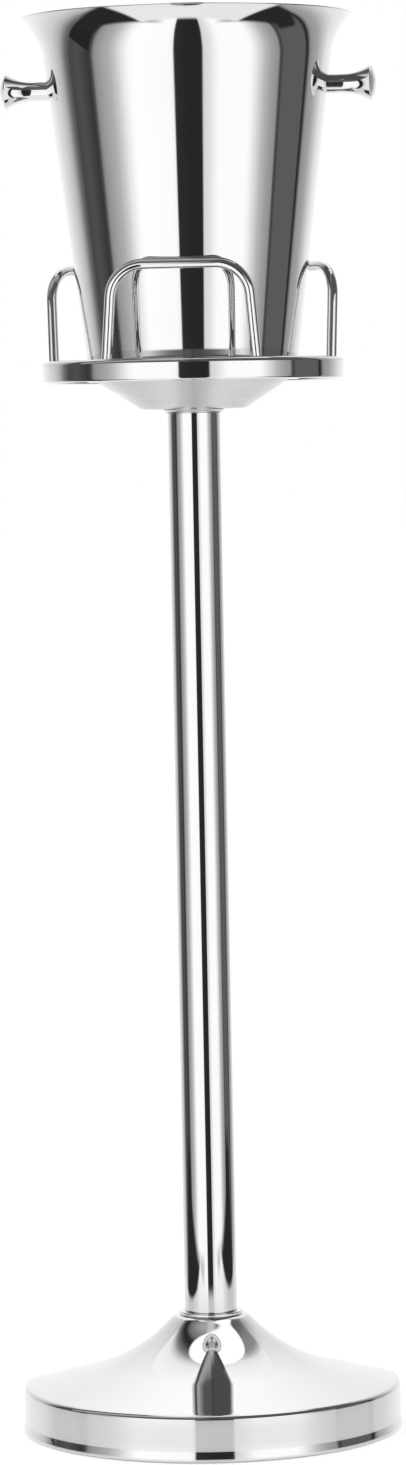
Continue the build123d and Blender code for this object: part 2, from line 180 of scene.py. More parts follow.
def turned(outline, closed, segments=LATHE_SEGMENTS):
    """A body of revolution about Z from an outline of (radius, height) points.

    An outline that isn't closed starts and ends on the axis.
    """
    mesh_data = bmesh.new()
    rings = []
    for point in outline:
        if point.x < ON_AXIS:
            rings.append([mesh_data.verts.new((0, 0, point.y))] * segments)
            continue
        ring = []
        for index in range(segments):
            a = math.tau * index / segments
            x, y = point.x * math.cos(a), point.x * math.sin(a)
            ring.append(mesh_data.verts.new((x, y, point.y)))
        rings.append(ring)
    pairs = list(zip(rings, rings[1:]))
    if closed:
        pairs.append((rings[-1], rings[0]))
    for lower, upper in pairs:
        for index in range(segments):
            after = (index + 1) % segments
            corners = [lower[index], lower[after], upper[after], upper[index]]
            corners = list(dict.fromkeys(corners))
            if len(corners) > 2:
                mesh_data.faces.new(corners)
    return mesh_data


def merged(*parts):
    """One bmesh that takes up several."""
    whole = bmesh.new()
    for part in parts:
        holder = bpy.data.meshes.new("part")
        part.to_mesh(holder)
        part.free()
        whole.from_mesh(holder)
        bpy.data.meshes.remove(holder)
    return whole


def drilled(piece, cutters):
    """Cuts the cutters' shapes out of a piece."""
    for mesh_data in cutters:
        mesh = bpy.data.meshes.new("cutter")
        mesh_data.to_mesh(mesh)
        mesh_data.free()
        cutter = bpy.data.objects.new("cutter", mesh)
        bpy.context.scene.collection.objects.link(cutter)
        modifier = piece.modifiers.new("hole", "BOOLEAN")
        modifier.object = cutter
        modifier.solver = "EXACT"
        bpy.context.view_layer.update()
        evaluated = piece.evaluated_get(bpy.context.evaluated_depsgraph_get())
        cut_mesh = bpy.data.meshes.new_from_object(evaluated)
        piece.modifiers.clear()
        piece.data = cut_mesh
        bpy.data.objects.remove(cutter)
    return piece


# ---------------------------------------------------------------- bucket
def bucket_wall_radius(height):
    """Outside radius of the straight wall at a height."""
    return BUCKET_RADIUS_AT_SHELF + (height - SHELF_Z) * math.tan(BUCKET_TAPER)


def drill(centre, direction, radius, length):
    """A rod to cut a hole with, given by its centre, direction, radius and length."""
    cutter = bmesh.new()
    bmesh.ops.create_cone(
        cutter, cap_ends=True, segments=32, radius1=radius, radius2=radius, depth=length
    )
    turn = UP.rotation_difference(Vector(direction)).to_matrix().to_4x4()
    bmesh.ops.transform(cutter, matrix=Matrix.Translation(centre) @ turn, verts=cutter.verts)
    return cutter


def make_bucket():
    """Tapered spun shell with a flared lip, drilled for the two knob screws."""
    lip_lift = BUCKET_SHEET * math.sin(FLARE_END)
    flare_rise = FLARE_RADIUS * (math.sin(FLARE_END) - math.sin(BUCKET_TAPER))
    flare_z = RIM_Z - lip_lift - flare_rise
    flare_r = bucket_wall_radius(flare_z)
    wall = rounded(
        [(0, SEAT_Z), (bucket_wall_radius(SEAT_Z), SEAT_Z), (flare_r, flare_z)], [BUCKET_CORNER]
    )
    centre = (
        flare_r + FLARE_RADIUS * math.cos(BUCKET_TAPER),
        flare_z - FLARE_RADIUS * math.sin(BUCKET_TAPER),
    )
    flare = arc(centre, FLARE_RADIUS, math.pi - BUCKET_TAPER, math.pi - FLARE_END, SWEEP_STEP)
    path = divided(wall) + flare[1:]
    outline = sheet_outline(path, BUCKET_SHEET, round_start=False)
    shape = turned(outline, closed=False)
    piece = finish_piece("bucket_body", shape, "bucket", "bucket_shell")
    hole_radius, through_both_walls = 2.8 * MM, 300 * MM
    return drilled(piece, [drill((0, 0, KNOB_Z), (1, 0, 0), hole_radius, through_both_walls)])


def make_knob(name, node, side):
    """Trumpet knob lying along X, its inner end shaped to the bucket's wall."""
    wall = bucket_wall_radius(KNOB_Z)
    neck, disc, segments = 5.75 * MM, 10.75 * MM, 96
    straight, flare_end, rim, length = 9.5 * MM, 25.2 * MM, 0.5 * MM, 28.7 * MM
    rim_edge, stretch = 0.15 * MM, 1 * MM
    bore_radius, bore_length, bore_middle = 2.5 * MM, 21 * MM, 3 * MM
    rise = disc - neck
    run = flare_end - straight
    sweep = (run**2 + rise**2) / (2 * rise)
    turn = math.asin(run / sweep)
    flare = arc((straight, neck + sweep), sweep, -math.pi / 2, -math.pi / 2 + turn)
    dome_rise = length - flare_end - rim
    dome = (disc**2 + dome_rise**2) / (2 * dome_rise)
    spread = math.asin(disc / dome)
    cap = arc((length - dome, 0), dome, spread, 0)
    edge = rounded([flare[-2], (flare_end, disc), (flare_end + rim, disc), cap[2]], [rim_edge] * 2)
    profile = divided([Vector((0, neck)), Vector((straight, neck))], stretch)
    profile += flare[1:-1] + edge[1:-1] + cap[2:]
    mesh_data = bmesh.new()
    rings = []
    for along, radius in profile:
        ring = []
        for index in range(segments):
            a = math.tau * index / segments
            y, z = radius * math.cos(a), radius * math.sin(a)
            foot = math.sqrt(bucket_wall_radius(KNOB_Z + z) ** 2 - y**2)
            share = max(0.0, 1 - along / straight)  # the foot follows the wall, the rest is round
            x = wall + along + (foot - wall) * share
            ring.append(mesh_data.verts.new((side * x, y, KNOB_Z + z)))
        rings.append(ring)
    for inner, outer in zip(rings, rings[1:]):
        for index in range(segments):
            after = (index + 1) % segments
            mesh_data.faces.new([inner[index], inner[after], outer[after], outer[index]])
    mesh_data.faces.new(rings[0])
    piece = finish_piece(name, mesh_data, "bucket", node)
    centre = (side * (wall + bore_middle), 0, KNOB_Z)
    return drilled(piece, [drill(centre, (side, 0, 0), bore_radius, bore_length)])


# ---------------------------------------------------------------- tray
def make_tray():
    """Bowl, seating ledge, well, shelf, skirt and rolled edge in one spun sheet."""
    bowl, ledge, well, edge = 30.8 * MM, 57.0 * MM, 64.55 * MM, tray_high.x
    floor_z = tray_low.z + TRAY_SHEET
    curl, curl_turn, curl_step = 1.6 * MM, math.radians(200), math.radians(12)
    skirt_below_seat = 1.7 * MM
    curl_z = SEAT_Z - skirt_below_seat + curl
    shown = rounded(
        [
            (BOLT_HOLE, floor_z),
            (bowl, floor_z),
            (ledge, SEAT_Z),
            (well, SEAT_Z),
            (well, SHELF_Z),
            (edge, SHELF_Z),
            (edge, curl_z),
        ],
        [8.0 * MM, 1.5 * MM, 1.8 * MM, 2.0 * MM, 3.0 * MM],
    )
    rolled = arc((edge - curl, curl_z), curl, 0, -curl_turn, curl_step)
    path = divided(shown) + rolled[1:]
    path.reverse()
    outline = sheet_outline(path, TRAY_SHEET)
    shape = turned(outline, closed=True)
    piece = finish_piece("tray_body", shape, "stand", "tray")
    stud_hole, through_shelf = 2.1 * MM, 6 * MM
    feet = [foot for turn in HOOP_TURNS.values() for foot in hoop_feet(turn)]
    return drilled(piece, [drill(foot, UP, stud_hole, through_shelf) for foot in feet])


# ---------------------------------------------------------------- guard hoops
HOOP_TURNS = {
    "guard_hoop_front": 0,
    "guard_hoop_rear_right": math.tau / 3,
    "guard_hoop_rear_left": 2 * math.tau / 3,
}
FOOT_CIRCLE = 83.5 * MM
FOOT_SPACING = 88.0 * MM
CHORD_DISTANCE = math.sqrt(FOOT_CIRCLE**2 - (FOOT_SPACING / 2) ** 2)
OUTWARD_LEAN = math.radians(4.5)
LEG_LEAN = math.radians(4.5)
HOOP_CORNER = 20.0 * MM
ROD_SIDES = 40


def hoop_feet(turn):
    """Where a hoop's two feet meet the shelf."""
    spin = Matrix.Rotation(turn, 3, "Z")
    return [spin @ Vector((side * FOOT_SPACING / 2, -CHORD_DISTANCE, SHELF_Z)) for side in (-1, 1)]


def swept_rod(line, radius, sides):
    """Round rod along a 3-D line that bends in one plane, cut flat on the shelf at both ends."""
    mesh_data = bmesh.new()
    across = (line[1] - line[0]).cross(line[-1] - line[0]).normalized()
    rings = []
    for index, point in enumerate(line):
        before = line[max(index - 1, 0)]
        after = line[min(index + 1, len(line) - 1)]
        along = (after - before).normalized()
        inward = along.cross(across)
        ring = []
        for side in range(sides):
            a = math.tau * side / sides
            spot = point + (across * math.cos(a) + inward * math.sin(a)) * radius
            if index in (0, len(line) - 1):
                spot += along * (SHELF_Z - spot.z) / along.z
            ring.append(mesh_data.verts.new(spot))
        rings.append(ring)
    for first, second in zip(rings, rings[1:]):
        for side in range(sides):
            after = (side + 1) % sides
            mesh_data.faces.new([first[side], first[after], second[after], second[side]])
    mesh_data.faces.new(rings[0])
    mesh_data.faces.new(rings[-1])
    return mesh_data


def threaded_stud(foot):
    """Stud under a hoop's foot, with the ridges of its thread."""
    radius, depth, pitch, groove = 1.95 * MM, 7.5 * MM, 0.7 * MM, 0.3 * MM
    overlap, plain, tip, tip_taper = 0.5 * MM, 1.4 * MM, 0.4 * MM, 0.5 * MM
    outline = [Vector((0, overlap)), Vector((radius, overlap)), Vector((radius, -plain))]
    ridges = int((depth - plain - tip) / pitch)
    for index in range(ridges):
        top = -plain - index * pitch
        outline.append(Vector((radius - groove, top - pitch / 2)))
        outline.append(Vector((radius, top - pitch)))
    outline += [Vector((radius - tip_taper, -depth)), Vector((0, -depth))]
    stud = turned(outline, closed=False, segments=24)
    bmesh.ops.translate(stud, vec=foot, verts=stud.verts)
    return stud


def make_hoop(name, turn):
    """One bent rod with a threaded stud under each foot."""
    rise = (hoop_high.z - SHELF_Z - WIRE_RADIUS) / math.cos(OUTWARD_LEAN)
    half_foot = FOOT_SPACING / 2
    half_top = half_foot - rise * math.tan(LEG_LEAN)
    corners = [(-half_foot, 0), (-half_top, rise), (half_top, rise), (half_foot, 0)]
    flat = divided(rounded(corners, [HOOP_CORNER] * 2))
    spin = Matrix.Rotation(turn, 3, "Z")
    lean = Matrix.Rotation(OUTWARD_LEAN, 3, "X")
    middle = Vector((0, -CHORD_DISTANCE, SHELF_Z))
    line = [spin @ (middle + lean @ Vector((point.x, 0, point.y))) for point in flat]
    rod = swept_rod(line, WIRE_RADIUS, ROD_SIDES)
    studs = [threaded_stud(foot) for foot in hoop_feet(turn)]
    return finish_piece(name + "_rod", merged(rod, *studs), "stand", name)


# ---------------------------------------------------------------- pole
def make_pole():
    """Tube with slightly eased ends."""
    low, high, outer = pole_low.z, pole_high.z, pole_high.x
    wall, ease, stretch = 1.2 * MM, 0.3 * MM, 15 * MM
    inner = outer - wall
    start = ((outer + inner) / 2, low)
    corners = [start, (outer, low), (outer, high), (inner, high), (inner, low), start]
    outline = divided(rounded(corners, [ease] * 4), stretch)[:-1]
    shape = turned(outline, closed=True, segments=192)
    return finish_piece("pole_body", shape, "stand", "pole_tube")


def make_collar():
    """Flared collar under the tray."""
    low, high, edge = collar_low.z, collar_high.z, collar_high.x
    foot, waist, waist_z, rim = 16.3 * MM, 16.5 * MM, low + 0.7 * MM, 0.5 * MM
    middle = 10 * MM
    outline = rounded(
        [
            (middle, high),
            (BOLT_HOLE, high),
            (BOLT_HOLE, low),
            (foot, low),
            (waist, waist_z),
            (edge, high - rim),
            (edge, high),
            (middle, high),
        ],
        [0.1 * MM, 0.1 * MM, 0.1 * MM, 0.5 * MM, 0.2 * MM, 0.1 * MM],
    )
    shape = turned(outline[:-1], closed=True, segments=128)
    return finish_piece("collar_body", shape, "stand", "top_collar")


def make_foot_ring():
    """Rounded ring between the base's neck and the pole."""
    low, high, edge = ring_low.z, ring_high.z, ring_high.x
    middle, outer_round, inner_round = 12 * MM, 0.6 * MM, 0.2 * MM
    outline = rounded(
        [
            (middle, low),
            (edge, low),
            (edge, high),
            (BASE_BOLT_HOLE, high),
            (BASE_BOLT_HOLE, low),
            (middle, low),
        ],
        [outer_round, outer_round, inner_round, inner_round],
    )
    shape = turned(outline[:-1], closed=True, segments=128)
    return finish_piece("foot_ring_body", shape, "stand", "pole_foot_ring")


# ---------------------------------------------------------------- base
def make_base():
    """Spun bell: flat neck, 45 degree cone, long sweep, sloping dome, upright band, flared hem."""
    top, low = base_high.z, base_low.z
    slope = math.radians(14.3)
    steep = math.radians(45)
    neck_r, neck_round, cone, sweep, shoulder = 22.0 * MM, 5.0 * MM, 5.1 * MM, 98.0 * MM, 3.0 * MM
    band = 114.2 * MM
    hem_r, hem_top, hem_shoulder, hem_flare = base_high.x, low + 5.8 * MM, low + 1.6 * MM, 4.0 * MM
    start = Vector((neck_r + cone, top - cone))
    neck = rounded([(BASE_BOLT_HOLE, top), (neck_r, top), start], [neck_round])
    centre = start + Vector((math.sin(steep), math.cos(steep))) * sweep
    swept = arc(centre, sweep, -math.pi / 2 - steep, -math.pi / 2 - slope, SWEEP_STEP)
    shoulder_x = band - shoulder
    run = (shoulder_x + shoulder * math.sin(slope) - swept[-1].x) / math.cos(slope)
    dome_end = swept[-1] + Vector((math.cos(slope), -math.sin(slope))) * run
    shoulder_centre = dome_end - Vector((math.sin(slope), math.cos(slope))) * shoulder
    rounded_shoulder = arc(shoulder_centre, shoulder, math.pi / 2 - slope, 0)
    hem = rounded(
        [
            (band, hem_top + hem_flare),
            (band, hem_top),
            (hem_r, hem_shoulder),
            (hem_r, low),
            (band - BASE_SHEET, low),
            (band - BASE_SHEET, hem_top),
        ],
        [hem_flare, 2.5 * MM, 0.4 * MM, 0.3 * MM],
    )
    outside = divided(neck) + swept[1:] + divided([swept[-1], dome_end])[1:] + rounded_shoulder[1:]
    outside += divided([outside[-1], hem[0]])[1:]
    inside = beside(outside, -BASE_SHEET)
    outline = outside + hem[1:] + list(reversed(inside))[1:]
    shape = turned(outline, closed=True, segments=320)
    return finish_piece("base_body", shape, "stand", "base_shell")


# ---------------------------------------------------------------- shader nodes
class Nodes:
    """Short ways to add and join nodes in one shader tree."""

    def __init__(self, tree):
        self.tree = tree

    def add(self, kind, settings=None, **inputs):
        """A new node with its settings and inputs; an input may be another node's output.

        An input goes by its name, or by _ and its number.
        """
        made = self.tree.nodes.new(kind)
        for key, value in (settings or {}).items():
            setattr(made, key, value)
        for key, value in inputs.items():
            socket = int(key[1:]) if key[1:].isdigit() else key.replace("_", " ")
            self.put(made.inputs[socket], value)
        return made

    def put(self, socket, value):
        """Sets a socket, or joins another node's output to it."""
        if isinstance(value, bpy.types.NodeSocket):
            self.tree.links.new(value, socket)
        else:
            socket.default_value = value

    def math(self, operation, first, second=0.0):
        return self.add("ShaderNodeMath", {"operation": operation}, _0=first, _1=second).outputs[0]

    def noise(self, vector, scale, detail):
        made = self.add("ShaderNodeTexNoise", Vector=vector, Scale=scale, Detail=detail)
        return made.outputs["Fac"]

    def fade(self, value, low, high, start, end):
        """Maps a value from one range to another, clamped."""
        made = self.add("ShaderNodeMapRange", _0=value, _1=low, _2=high, _3=start, _4=end)
        return made.outputs[0]

    def above(self, value, edge, blur):
        """0 below an edge and 1 above it, with a soft change between."""
        return self.fade(value, edge - blur, edge + blur, 0.0, 1.0)

    def under(self, value, edge, blur):
        """1 below an edge and 0 above it, with a soft change between."""
        return self.fade(value, edge + blur, edge - blur, 0.0, 1.0)

    def blend(self, share, first, second):
        """Goes from one colour to another; the node's colour sockets are 6 and 7, and 2 outside."""
        mixed = self.add("ShaderNodeMix", {"data_type": "RGBA"}, _0=share, _6=first, _7=second)
        return mixed.outputs[2]

    def mix(self, share, first, second):
        """Goes from one shader to another."""
        return self.add("ShaderNodeMixShader", _0=share, _1=first, _2=second).outputs[0]

    def bump(self, height, distance):
        return self.add("ShaderNodeBump", Height=height, Distance=distance, Strength=1.0).outputs[0]

    def squares(self, first, second):
        """The sum of two squares."""
        return self.math(
            "ADD", self.math("MULTIPLY", first, first), self.math("MULTIPLY", second, second)
        )

    def place(self):
        """Position on the piece, in metres."""
        return self.add("ShaderNodeTexCoord").outputs["Object"]

    def split(self, vector):
        return self.add("ShaderNodeSeparateXYZ", _0=vector).outputs

    def spun(self, stretch):
        """Coordinates that change fast across a spun surface and slowly round it."""
        x, y, z = self.split(self.place())
        radius = self.math("SQRT", self.squares(x, y))
        bearing = self.math("MULTIPLY", self.math("ARCTAN2", y, x), stretch)
        return self.add("ShaderNodeCombineXYZ", X=radius, Y=z, Z=bearing).outputs[0]


def grey(level):
    return (level, level, level, 1)


# ---------------------------------------------------------------- finishes
def finish(name, **inputs):
    """A material from the inputs of its Principled node: values, or functions that make nodes."""
    material = bpy.data.materials.new(name)
    material.use_nodes = True
    nodes = Nodes(material.node_tree)
    surface = material.node_tree.nodes["Principled BSDF"]
    for key, value in inputs.items():
        nodes.put(surface.inputs[key.replace("_", " ")], value(nodes) if callable(value) else value)
    return material


def grain(scale, detail=2.0):
    """A function that makes an even pattern of a scale on a piece."""
    return lambda nodes: nodes.noise(nodes.place(), scale, detail)


def spun_grain(stretch, scale):
    """A function that makes the rings that spinning or turning leaves."""
    return lambda nodes: nodes.noise(nodes.spun(stretch), scale, 3.0)


def polished_steel():
    """Mirror-polished stainless steel with faint wiping haze and hair-fine spin lines."""
    haze, spin_lines = grain(16.0, 4.0), spun_grain(0.002, 1400.0)
    return finish(
        "polished_steel_finish",
        Base_Color=lambda n: n.blend(haze(n), grey(0.82), grey(0.78)),
        Metallic=1.0,
        Roughness=lambda n: n.math(
            "ADD",
            n.fade(haze(n), 0.35, 0.75, 0.02, 0.05),
            n.fade(spin_lines(n), 0.3, 0.8, 0.0, 0.012),
        ),
        Normal=lambda n: n.bump(spin_lines(n), 0.3e-6),
    )


def satin_steel(name="satin_steel_finish", level=0.66, roughness=0.26, anisotropy=0.0):
    """Spun stainless steel left with visible tool rings."""
    tool_rings, haze = spun_grain(0.001, 900.0), grain(40.0, 3.0)
    round_axis = {"direction_type": "RADIAL", "axis": "Z"}
    return finish(
        name,
        Base_Color=lambda n: n.blend(tool_rings(n), grey(level * 0.94), grey(level * 1.04)),
        Metallic=1.0,
        Roughness=lambda n: n.math(
            "ADD",
            n.fade(tool_rings(n), 0.3, 0.7, roughness - 0.05, roughness + 0.08),
            n.fade(haze(n), 0.3, 0.7, 0.0, 0.05),
        ),
        Normal=lambda n: n.bump(tool_rings(n), 3e-6),
        Anisotropic=anisotropy,
        Anisotropic_Rotation=0.25,
        Tangent=lambda n: n.add("ShaderNodeTangent", round_axis).outputs[0],
    )


def zinc_plating():
    """Bright zinc with its faint blue-yellow bloom."""
    bloom, crystals = grain(120.0, 3.0), grain(2500.0)
    bluish, yellowish = (0.56, 0.58, 0.62, 1), (0.66, 0.64, 0.56, 1)
    return finish(
        "zinc_finish",
        Base_Color=lambda n: n.blend(bloom(n), bluish, yellowish),
        Metallic=1.0,
        Roughness=lambda n: n.fade(crystals(n), 0.3, 0.7, 0.24, 0.4),
        Normal=lambda n: n.bump(crystals(n), 4e-6),
    )


def black_rubber():
    """Moulded rubber with a dusty, slightly pebbled skin."""
    dust, pebbles = grain(60.0, 4.0), grain(1800.0, 3.0)
    return finish(
        "rubber_finish",
        Base_Color=lambda n: n.blend(n.fade(dust(n), 0.45, 0.8, 0.0, 0.5), grey(0.018), grey(0.06)),
        Roughness=lambda n: n.fade(pebbles(n), 0.3, 0.7, 0.62, 0.85),
        Normal=lambda n: n.bump(pebbles(n), 40e-6),
    )


def black_coating():
    """Powder coat with fine orange peel."""
    peel = grain(700.0)
    return finish(
        "powder_coat_finish",
        Base_Color=lambda n: n.blend(peel(n), grey(0.022), grey(0.04)),
        Roughness=lambda n: n.fade(peel(n), 0.3, 0.7, 0.38, 0.55),
        Normal=lambda n: n.bump(peel(n), 25e-6),
    )


def cast_iron():
    """Sand-cast iron under dark primer."""
    patches, sand = grain(45.0, 4.0), grain(900.0, 6.0)
    primer, worn_primer = grey(0.05), (0.11, 0.09, 0.08, 1)
    return finish(
        "cast_iron_finish",
        Base_Color=lambda n: n.blend(patches(n), primer, worn_primer),
        Metallic=0.3,
        Roughness=lambda n: n.fade(sand(n), 0.3, 0.7, 0.6, 0.9),
        Normal=lambda n: n.bump(sand(n), 120e-6),
    )


# Finishes by the material slots of the CAD's nodes.
FINISHES = {
    "polished_steel": polished_steel(),
    "satin_steel": satin_steel(),
    "zinc_fasteners": zinc_plating(),
    "seal_rubber": black_rubber(),
    "black_plate": black_coating(),
    "cast_weight": cast_iron(),
}
FINISHES["foot_rubber"] = FINISHES["seal_rubber"]
SPUN_UNDERSIDE = satin_steel("spun_underside_finish", level=0.7, roughness=0.3, anisotropy=0.75)
UNDERSIDE_RADIUS = 60 * MM
UNDERSIDE_BELOW_SEAT = 1 * MM


def paint(piece, material):
    """Gives a piece one finish."""
    piece.data.materials.clear()
    piece.data.materials.append(material)


def paint_underside(piece):
    """Gives the outside of the tray's bowl the duller finish that spinning leaves."""
    piece.data.materials.append(SPUN_UNDERSIDE)
    for face in piece.data.polygons:
        low_enough = face.center.z < SEAT_Z - UNDERSIDE_BELOW_SEAT
        if low_enough and face.normal.z < 0 and face.center.xy.length < UNDERSIDE_RADIUS:
            face.material_index = 1


def paint_cad_nodes():
    """Gives the CAD's own nodes the finish of their material slot."""
    slots = {row["node"]: row["material_slot"] for row in frame["record"]["subparts"]}
    for name, node in frame["nodes"].items():
        paint(node, FINISHES[slots[name]])


# ---------------------------------------------------------------- studio
CAMERA_BEARING = math.radians(5.4)  # to the right of the object's front
CAMERA_DISTANCE = 3.03
CAMERA_HEIGHT = 0.5963
CAMERA_LENS = 123.84  # millimetres
CAMERA_ROLL = math.radians(1.1)
CAMERA_REACH = 100
AIM = Vector((0.0018, 0, 0.4216))

STEEL_LEVEL = 0.8  # share of light that the polished steel returns
PANEL_GAIN = 1 / STEEL_LEVEL
EVEN_LIGHT = 1.08  # brightness of the studio on surfaces that aren't mirrors
# Rays that have bounced more often than this see the reflection of a reflection.
FIRST_REFLECTION_BOUNCES = 2.5

# Brightness of the studio's panels by bearing from the camera, in degrees: a black gap behind
# the camera, a soft panel each side of it, a dark board beyond each, and the white backdrop.
LEFT_PANELS = [
    (0, 0.02), (10.5, 0.025), (11.4, 0.90), (15, 0.96), (44, 0.99), (48, 0.95), (54, 0.78),
    (60, 0.565), (66, 0.42), (78, 0.29), (81, 0.23), (83, 0.08), (86, 0.035), (99, 0.075),
    (108, 0.06), (114, 0.14), (117, 0.23), (123, 0.44), (132, 0.60), (150, 0.78), (180, 1.0),
]
RIGHT_PANELS = [
    (0, 0.02), (11.9, 0.018), (12.9, 0.66), (18, 0.74), (24, 0.92), (27, 0.97), (51, 0.97),
    (54, 0.91), (60, 0.69), (66, 0.47), (72, 0.35), (79, 0.27), (80.5, 0.06), (82.5, 0.06),
    (84, 0.10), (109, 0.10), (111, 0.02), (113, 0.03), (114, 0.10), (117, 0.28), (126, 0.35),
    (132, 0.47), (144, 0.72), (180, 1.0),
]
PANEL_TOP = 12.2  # degrees above the horizon where the panels beside the camera end
BACKDROP_TOP = 43.0  # the same for the backdrop
TOP_CLIMB = (95.0, 108.0)  # bearings between which the upper edge climbs from one to the other
TOP_BLUR = 0.012  # half the width of the upper edge, as a sine
# Share of its brightness that the backdrop keeps, by the sine of the height above the horizon.
BACKDROP_SHADE = [(0.0, 1.0), (0.1, 0.86), (0.42, 0.87), (0.6, 0.97)]
BACKDROP_EDGE = 120.0  # bearing where the backdrop begins, with its blur
BACKDROP_EDGE_BLUR = 20.0
# Black cloth that hangs off the left board, in degrees: the bearing of its edge, the height of
# its top, how much wider it gets for each degree below that, and the bearing where it ends.
CLOTH_EDGE = 85.5
CLOTH_EDGE_BLUR = 0.5
CLOTH_TOP = -12.0
CLOTH_SLANT = 1.9
CLOTH_END = 110.0
CLOTH_LEVEL = 0.017

CEILING_LOWEST = 0.05  # sine of the height that lower directions are raised to on the ceiling
# Brightness of the ceiling by how far behind the object it is, in units of its height, over the
# object's middle and to the left and right of it. The bounds of the side parts run slanting: the
# further to the side, the further behind. An overhead soft box hangs in the middle.
CEILING = [
    (-1.0, 0.06), (-0.5, 0.1), (-0.3, 0.3), (-0.15, 0.55), (0.45, 0.6), (0.6, 0.9), (1.0, 0.95),
]
LEFT_CEILING = [
    (-1.0, 0.1), (-0.4, 0.4), (-0.22, 0.4), (-0.1, 0.22), (0.0, 0.12), (0.05, 0.03), (0.11, 0.02),
    (0.17, 0.05), (0.23, 0.11), (0.31, 0.24), (0.41, 0.6), (0.5, 0.8), (0.7, 0.86), (1.0, 0.92),
]
RIGHT_CEILING = [
    (-1.0, 0.08), (-0.45, 0.09), (-0.3, 0.13), (-0.15, 0.21), (0.1, 0.25), (0.18, 0.39),
    (0.3, 0.75), (0.45, 0.84), (1.0, 0.92),
]
LEFT_SLANT = 0.2  # how much further behind a bound lies for each step to the side
RIGHT_SLANT = 0.85
MIDDLE_REACH = 0.1  # how far the ceiling's middle part reaches to each side, with its blur
MIDDLE_BLUR = 0.05
SOFT_BOX_CENTRE = (0.13, 0.165)
SOFT_BOX_RADII = (0.45, 0.315)
SOFT_BOX_EDGE = 0.975  # square of the distance from its centre, in radii, with its blur
SOFT_BOX_EDGE_BLUR = 0.075
SOFT_BOX_SECOND_LEVEL = 0.06  # brightness of the soft box in reflections of reflections

# Paper sheet that the object stands on, as the camera sees it: x to the right, y away.
PAPER_CENTRE_X = 0.035
PAPER_HALF_WIDTH = 0.485
PAPER_SIDE_BLUR = 0.02
PAPER_FRONT = 0.54
PAPER_LIT = 0.44  # the paper's front edge lies in shade up to here
PAPER_LEVEL = 1.02  # brightness of the lit paper in reflections, before its gloss
PAPER_GLOSS_ROUGHNESS = 0.1
PAPER_IOR = 1.5
# Dark floor on the paper's right and left, each edge with its blur.
DARK_FLOOR_LEVEL = 0.025
DARK_FLOOR_START, DARK_FLOOR_START_BLUR = 0.325, 0.075
DARK_FLOOR_END, DARK_FLOOR_END_BLUR = 1.25, 0.1
DARK_FLOOR_BACK, DARK_FLOOR_BACK_BLUR = 0.22, 0.04
# Where the panels meet the dark floor: a line that runs back to the side, up to a furthest place.
PANEL_FOOT_MIDDLE, PANEL_FOOT_SLOPE = -0.78, 0.64
PANEL_FOOT_FURTHEST, PANEL_FOOT_BLUR = -0.17, 0.06
FLOOR_RADIUS = 30
FLOOR_GLOW = 0.3  # lifts the floor to plain white for the camera


def level_ramp(nodes, value, low, high, stops):
    """Grey level from a value by a list of (value, level) stops."""
    ramp = nodes.add("ShaderNodeValToRGB", _0=nodes.fade(value, low, high, 0.0, 1.0))
    made = ramp.color_ramp.elements
    for index, (at, level) in enumerate(stops):
        position = (at - low) / (high - low)
        stop = made[index] if index < 2 else made.new(position)
        stop.position = position
        stop.color = grey(level)
    return ramp.outputs[0]


def panel_ring(nodes, bearing, up):
    """Brightness of the panels, boards and backdrop that stand round the object."""
    turned_away = nodes.math("ABSOLUTE", bearing)
    ring = nodes.blend(
        nodes.math("GREATER_THAN", bearing, 0.0),
        level_ramp(nodes, turned_away, 0, 180, LEFT_PANELS),
        level_ramp(nodes, turned_away, 0, 180, RIGHT_PANELS),
    )
    past_edge = nodes.math("SUBTRACT", nodes.math("MULTIPLY", bearing, -1.0), CLOTH_EDGE)
    below = nodes.math("SUBTRACT", CLOTH_TOP, nodes.math("DEGREES", nodes.math("ARCSINE", up)))
    cloth_reach = nodes.math("MULTIPLY", below, CLOTH_SLANT)
    cloth_reach = nodes.math("MINIMUM", cloth_reach, CLOTH_END - CLOTH_EDGE)
    on_cloth = nodes.math(
        "MULTIPLY",
        nodes.above(past_edge, 0.0, CLOTH_EDGE_BLUR),
        nodes.math("LESS_THAN", past_edge, cloth_reach),
    )
    ring = nodes.blend(on_cloth, ring, grey(CLOTH_LEVEL))
    on_backdrop = nodes.above(turned_away, BACKDROP_EDGE, BACKDROP_EDGE_BLUR)
    shade = level_ramp(nodes, up, 0.0, 1.0, BACKDROP_SHADE)
    shade = nodes.blend(on_backdrop, grey(1.0), shade)
    shaded = nodes.add("ShaderNodeVectorMath", {"operation": "MULTIPLY"}, _0=ring, _1=shade)
    return shaded.outputs[0]


